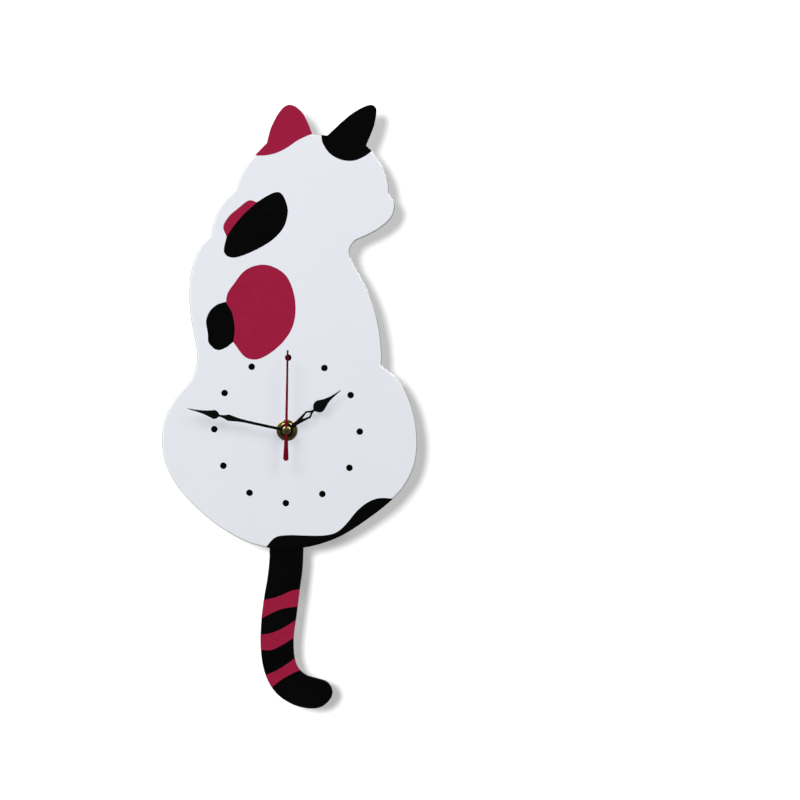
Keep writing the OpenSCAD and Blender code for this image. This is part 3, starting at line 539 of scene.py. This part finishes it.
def brass_washer():
    """Stamped washer: its front is crowned towards the rim, and its bore has a broken edge."""
    low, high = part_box("brass_washer")
    front, back = low.y, high.y
    outer = (high.x - low.x) / 2
    bore = 4.2 * MM
    broken = 0.12 * MM
    rear_broken = 0.08 * MM
    rim = 0.1 * MM
    crown_from, crown_to = 4.6 * MM, outer - broken
    crown_drop, crown_power, steps = 0.42 * MM, 2.4, 16
    profile = [(bore + broken, front)]
    for i in range(steps + 1):
        share = i / steps
        fall = crown_drop * share ** crown_power
        profile.append((crown_from + (crown_to - crown_from) * share, front + fall))
    profile += [
        (outer, front + crown_drop + rim), (outer, back - rear_broken), (outer - rear_broken, back),
        (bore, back), (bore, front + broken),
    ]
    bm = bmesh.new()
    turned(bm, profile, dial, "Y", steps=128)
    piece("crowned_washer", bm, "brass", "clock", ["brass_washer"])


def threaded_bush():
    """Bush with a real helical thread from its front end to the flange inside the case."""
    low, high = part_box("threaded_bush")
    front, back = low.y, high.y
    crest = 3.98 * MM
    depth = 0.42 * MM
    lead_in = 0.4 * MM
    pitch = 0.75 * MM
    flange = (high.x - low.x) / 2
    flange_from = back - 0.5 * MM
    flange_broken = 0.1 * MM
    bore = 2.6 * MM
    sink = 0.2 * MM
    rows_per_turn = 8
    rows = round((flange_from - front) / pitch * rows_per_turn)

    def thread(y):
        """Radius of the thread at that place along the bush, as a function of the angle."""
        def radius(angle):
            phase = ((y - front) / pitch - angle / TURN) % 1
            return min(crest - depth * (1 - abs(2 * phase - 1)), crest - lead_in + (y - front))
        return radius

    profile = []
    for row in range(rows + 1):
        y = front + (flange_from - front) * row / rows
        profile.append((thread(y), y))
    profile += [
        (flange - flange_broken, flange_from), (flange, flange_from + flange_broken), (flange, back),
        (bore, back), (bore, front + sink), (bore + sink, front),
    ]
    bm = bmesh.new()
    turned(bm, profile, dial, "Y", steps=72)
    piece("bush_with_thread", bm, "brass", "clock", ["threaded_bush"])


def minute_nut():
    """Round nut with a knurled rim over a domed front."""
    low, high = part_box("minute_nut")
    front, back = low.y, high.y
    outer = (high.x - low.x) / 2
    bore = 1.76 * MM
    sink = 0.2 * MM
    broken = 0.15 * MM
    teeth = 30
    tooth_depth = 0.16 * MM

    def knurl(angle):
        """Radius of the rim at that angle."""
        return outer - tooth_depth * abs(angle / TURN * teeth % 1 - 0.5) * 2

    dome = [
        (2.3 * MM, front), (2.75 * MM, front + 0.12 * MM), (outer - 0.2 * MM, front + 0.34 * MM),
    ]
    profile = [
        (bore + sink, front), *dome, (knurl, front + 0.48 * MM), (knurl, back - 0.12 * MM),
        (outer - broken, back), (bore, back), (bore, front + sink),
    ]
    bm = bmesh.new()
    turned(bm, profile, dial, "Y", steps=teeth * 6)
    piece("knurled_minute_nut", bm, "brass", "minute", ["minute_nut"])


def negative_contact():
    """Nickelled strip with a conical coil spring that presses on the cell."""
    low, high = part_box("contact_negative")
    cell = centre("battery_cell")
    strip_t = 0.3 * MM
    strip_rounding = 0.08 * MM
    wire_r = 0.26 * MM
    wide, narrow = 3.75 * MM, 2.1 * MM
    turns = 2.4
    steps = 110
    start = low.x + strip_t + wire_r
    end = high.x - wire_r
    path = []
    for i in range(steps + 1):
        share = i / steps
        radius = wide + (narrow - wide) * share
        path.append(placed(cell, "X", radius, TURN * turns * share, start + (end - start) * share))
    bm = bmesh.new()
    wire(bm, path, wire_r)
    # The strip comes last: faces made after its bevel would be stored in another order in each run.
    block(bm, low, (low.x + strip_t, high.y, high.z), strip_rounding)
    piece("contact_spring", bm, "nickel_strip", "clock", ["contact_negative"])


def battery_cell():
    """AA cell: nub, crimped shoulder under the jacket, and the recessed negative end."""
    low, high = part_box("battery_cell")
    outer = (high.y - low.y) / 2
    nub = 2.75 * MM
    shoulder = high.x - CELL_NUB
    profile = [
        # The nub, from its middle outwards.
        (0, high.x), (nub - 0.4 * MM, high.x), (nub - 0.1 * MM, high.x - 0.1 * MM),
        (nub, high.x - 0.35 * MM), (nub, shoulder + 0.05 * MM),
        # The positive end with its crimped bead.
        (nub + 0.4 * MM, shoulder - 0.1 * MM), (5.4 * MM, shoulder - 0.15 * MM),
        (5.7 * MM, shoulder - 0.02 * MM), (CELL_BARE, shoulder),
        (outer - 0.3 * MM, shoulder - 0.05 * MM), (outer - 0.05 * MM, shoulder - 0.3 * MM),
        # The jacket.
        (outer, shoulder - 0.7 * MM), (outer, low.x + 0.7 * MM),
        (outer - 0.05 * MM, low.x + 0.3 * MM), (outer - 0.3 * MM, low.x + 0.05 * MM),
        # The negative end with the groove round its contact.
        (6.2 * MM, low.x), (5.5 * MM, low.x + 0.05 * MM), (5.2 * MM, low.x + 0.3 * MM),
        (4.9 * MM, low.x + 0.3 * MM), (4.6 * MM, low.x), (0, low.x),
    ]
    bm = bmesh.new()
    turned(bm, profile, centre("battery_cell"), "X", steps=80)
    piece("aa_cell", bm, "cell_jacket", "clock", ["battery_cell"])


def winding(name, node, axis, wire_d, inner):
    """A coil's turns, layer on layer: its outer face and both ends show the wires."""
    low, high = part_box(node)
    along = "XYZ".index(axis)
    start, end = low[along], high[along]
    outer = (high.x - low.x) / 2
    count = round((end - start) / wire_d)
    pitch = (end - start) / count
    groove = 0.42 * wire_d
    # One turn of the outer face, as shares of its pitch and of the wire's diameter.
    wire_outline = ((0, 0), (0.29, 0.4), (0.71, 0.4))
    profile = []
    for turn in range(count):
        for share, lift in wire_outline:
            profile.append((outer - groove + lift * wire_d, start + (turn + share) * pitch))

    layers = round((outer - inner) / wire_d)
    layer_t = (outer - inner) / layers
    dip_side, dip = 0.25 * wire_d, 0.3 * wire_d
    # The end face from outside to inside, as (radius, depth below the end).
    end_face = []
    for layer in range(layers):
        radius = outer - (layer + 0.5) * layer_t
        end_face += [(radius + dip_side, dip), (radius, 0)]
    end_face.append((inner, dip))
    profile += [(radius, end - depth) for radius, depth in end_face]
    profile += [(radius, start + depth) for radius, depth in reversed(end_face)]
    bm = bmesh.new()
    turned(bm, profile, centre(node), axis, steps=64)
    piece(name, bm, "copper_wire", "clock", [node], sharp=80)


def quartz_can():
    """Watch crystal's can with its crimped base."""
    low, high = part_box("quartz_crystal")
    outer = (high.y - low.y) / 2
    can = outer - 0.04 * MM
    neck = outer - 0.16 * MM
    profile = [
        (0, low.x), (outer - 0.35 * MM, low.x), (outer - 0.12 * MM, low.x + 0.08 * MM),
        (can, low.x + 0.35 * MM), (can, high.x - 0.9 * MM),
        (neck, high.x - 0.75 * MM), (neck, high.x - 0.6 * MM),
        (outer, high.x - 0.45 * MM), (outer, high.x - 0.1 * MM), (outer - 0.1 * MM, high.x), (0, high.x),
    ]
    bm = bmesh.new()
    turned(bm, profile, centre("quartz_crystal"), "X", steps=48)
    piece("quartz_can", bm, "bright_steel", "clock", ["quartz_crystal"])


fixing_nut()
brass_washer()
threaded_bush()
minute_nut()
negative_contact()
battery_cell()
winding("drive_coil_turns", "drive_winding", "Y", wire_d=0.3 * MM, inner=2 * MM)
winding("motor_coil_turns", "coil_winding", "Z", wire_d=0.2 * MM, inner=1.3 * MM)
quartz_can()


# ---------------------------------------------------------------- wall, light and camera

def plane(name, corners, material):
    """A flat stage piece with one face, which throws no light back on the clock."""
    mesh = bpy.data.meshes.new(name)
    mesh.from_pydata(corners, [], [(0, 1, 2, 3)])
    mesh.materials.append(material)
    obj = bpy.data.objects.new(name, mesh)
    bpy.context.scene.collection.objects.link(obj)
    obj.visible_diffuse = False
    obj.visible_glossy = False
    obj.visible_shadow = False
    return obj


def one_sided_paint(name, colour, glow):
    """Plain pale paint that shows only on the side that faces the room."""
    f = Finish(name, {"Roughness": 1.0, "Specular IOR Level": 0.0, "Emission Color": (1, 1, 1, 1),
                      "Emission Strength": glow})
    shade = [channel * 0.995 for channel in colour]
    f.colour(f.wander(60 * MM, 3), colour, shade)
    clear = f.node("BsdfTransparent").outputs[0]
    behind = f.node("NewGeometry").outputs["Backfacing"]
    sides = f.node("MixShader", {0: behind, 1: f.shader.outputs[0], 2: clear}).outputs[0]
    f.tree.links.new(sides, f.tree.nodes["Material Output"].inputs["Surface"])
    return f.material


def backdrop():
    """Wall and floor, gathered so that one lamp can light them alone."""
    wall_y = 0.3 * MM
    floor_z = -1.4
    reach = 4.0
    far = 30.0
    pale = (0.95, 0.95, 0.95)
    wall = plane("wall", [(-reach, wall_y, floor_z), (reach, wall_y, floor_z),
                          (reach, wall_y, reach), (-reach, wall_y, reach)],
                 one_sided_paint("wall_paint", pale, glow=0.13))
    floor = plane("floor", [(-far, -far, floor_z), (far, -far, floor_z),
                            (far, far, floor_z), (-far, far, floor_z)],
                  one_sided_paint("floor_paint", pale, glow=0.6))
    stage = bpy.data.collections.new("stage")
    stage.objects.link(wall)
    stage.objects.link(floor)
    return stage


def softbox(name, aim, way, distance, size, power, passes=()):
    """A round area lamp aimed at a point from that way off. The nodes it passes throw no shadow in it."""
    data = bpy.data.lights.new(name, "AREA")
    data.shape = "DISK"
    data.size = size
    data.energy = power
    lamp = bpy.data.objects.new(name, data)
    bpy.context.scene.collection.objects.link(lamp)
    way = Vector(way).normalized()
    lamp.location = aim + way * distance
    lamp.rotation_euler = way.to_track_quat("Z", "Y").to_euler()
    if passes:
        group = bpy.data.collections.new(name + "_passes")
        for node in passes:
            group.objects.link(nodes[node])
        for entry in group.collection_objects:
            entry.light_linking.link_state = "EXCLUDE"
        lamp.light_linking.blocker_collection = group
    return lamp


def room():
    """World light of a pale room: brighter above and behind the clock, and dark straight before it, so
    that gloss on its front stays deep. The camera sees an even pale ground instead."""
    world = bpy.data.worlds.new("room")
    bpy.context.scene.world = world
    world.use_nodes = True
    world.cycles.sampling_method = "NONE"
    g = Graph(world.node_tree)
    straight_before, before, behind = 0.01, 0.17, 0.78
    below, above = 0.22, 0.82
    seen = 0.95
    way = g.node("SeparateXYZ", {"Vector": g.node("TexCoord").outputs["Generated"]})
    front = g.between(way.outputs["Y"], straight_before, before, start=-0.985, end=-0.93)
    rear = g.between(way.outputs["Y"], 0, behind, start=-0.1, end=0.6)
    height = g.between(way.outputs["Z"], below, above, start=-0.8, end=0.8)
    light = g.math("MULTIPLY", g.math("ADD", front, rear), height)
    strength = g.node("Mix", {0: g.node("LightPath").outputs["Is Camera Ray"], 2: light, 3: seen})
    g.tree.links.new(strength.outputs[0], g.tree.nodes["Background"].inputs["Strength"])
    g.tree.nodes["Background"].inputs["Color"].default_value = (1, 1, 1, 1)


def studio(stage):
    """A key lamp from the left, and a wash in the same place that lights the stage alone. Two wide lamps
    high on the left and right throw no shadow of the sheets. One lamp behind lights the clock's rear."""
    aim = (cad_low + cad_high) / 2
    hands = ("hour_hand", "minute_hand", "second_hand", "second_hub")
    sheets = [name for name in nodes if slot_of[name] in SHEETS]
    from_left = {"way": (-0.41, -1, 0.235), "distance": 4.5, "size": 1.6}
    key = softbox("key", aim, **from_left, power=140, passes=hands)
    key.visible_glossy = False
    wash = softbox("wall_wash", aim, **from_left, power=30)
    wash.light_linking.receiver_collection = stage
    softbox("upper_left", aim, way=(-0.9, -1, 1.05), distance=3.0, size=1.4, power=24.5, passes=sheets)
    softbox("upper_right", aim, way=(1.0, -1, 1.1), distance=3.0, size=1.4, power=25.5, passes=sheets)
    softbox("rear", aim, way=(0.8, 1.8, 0.9), distance=2.2, size=0.8, power=21)


def camera():
    """Looks along +Y, with the clock left of the middle of the view. It leans by the angle at which the
    clock hangs askew in the photograph."""
    data = bpy.data.cameras.new("camera")
    data.lens = 100
    data.sensor_width = 36
    view_width = 0.608
    aim_x, aim_z = 85.5 * MM, -15.5 * MM
    lean = math.radians(0.95)
    right = Vector((math.cos(lean), 0, math.sin(lean)))
    up = Vector((-math.sin(lean), 0, math.cos(lean)))
    back = Vector((0, -1, 0))
    plate_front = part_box("cat_plate")[0].y
    aim = Vector((aim_x, plate_front, aim_z))
    distance = view_width * data.lens / data.sensor_width
    axes = Matrix((right, up, back)).transposed().to_4x4()
    obj = bpy.data.objects.new("camera", data)
    bpy.context.scene.collection.objects.link(obj)
    obj.matrix_world = Matrix.Translation(aim + back * distance) @ axes
    bpy.context.scene.camera = obj


stage = backdrop()
room()
studio(stage)
camera()
bpy.context.scene.view_settings.view_transform = "Standard"
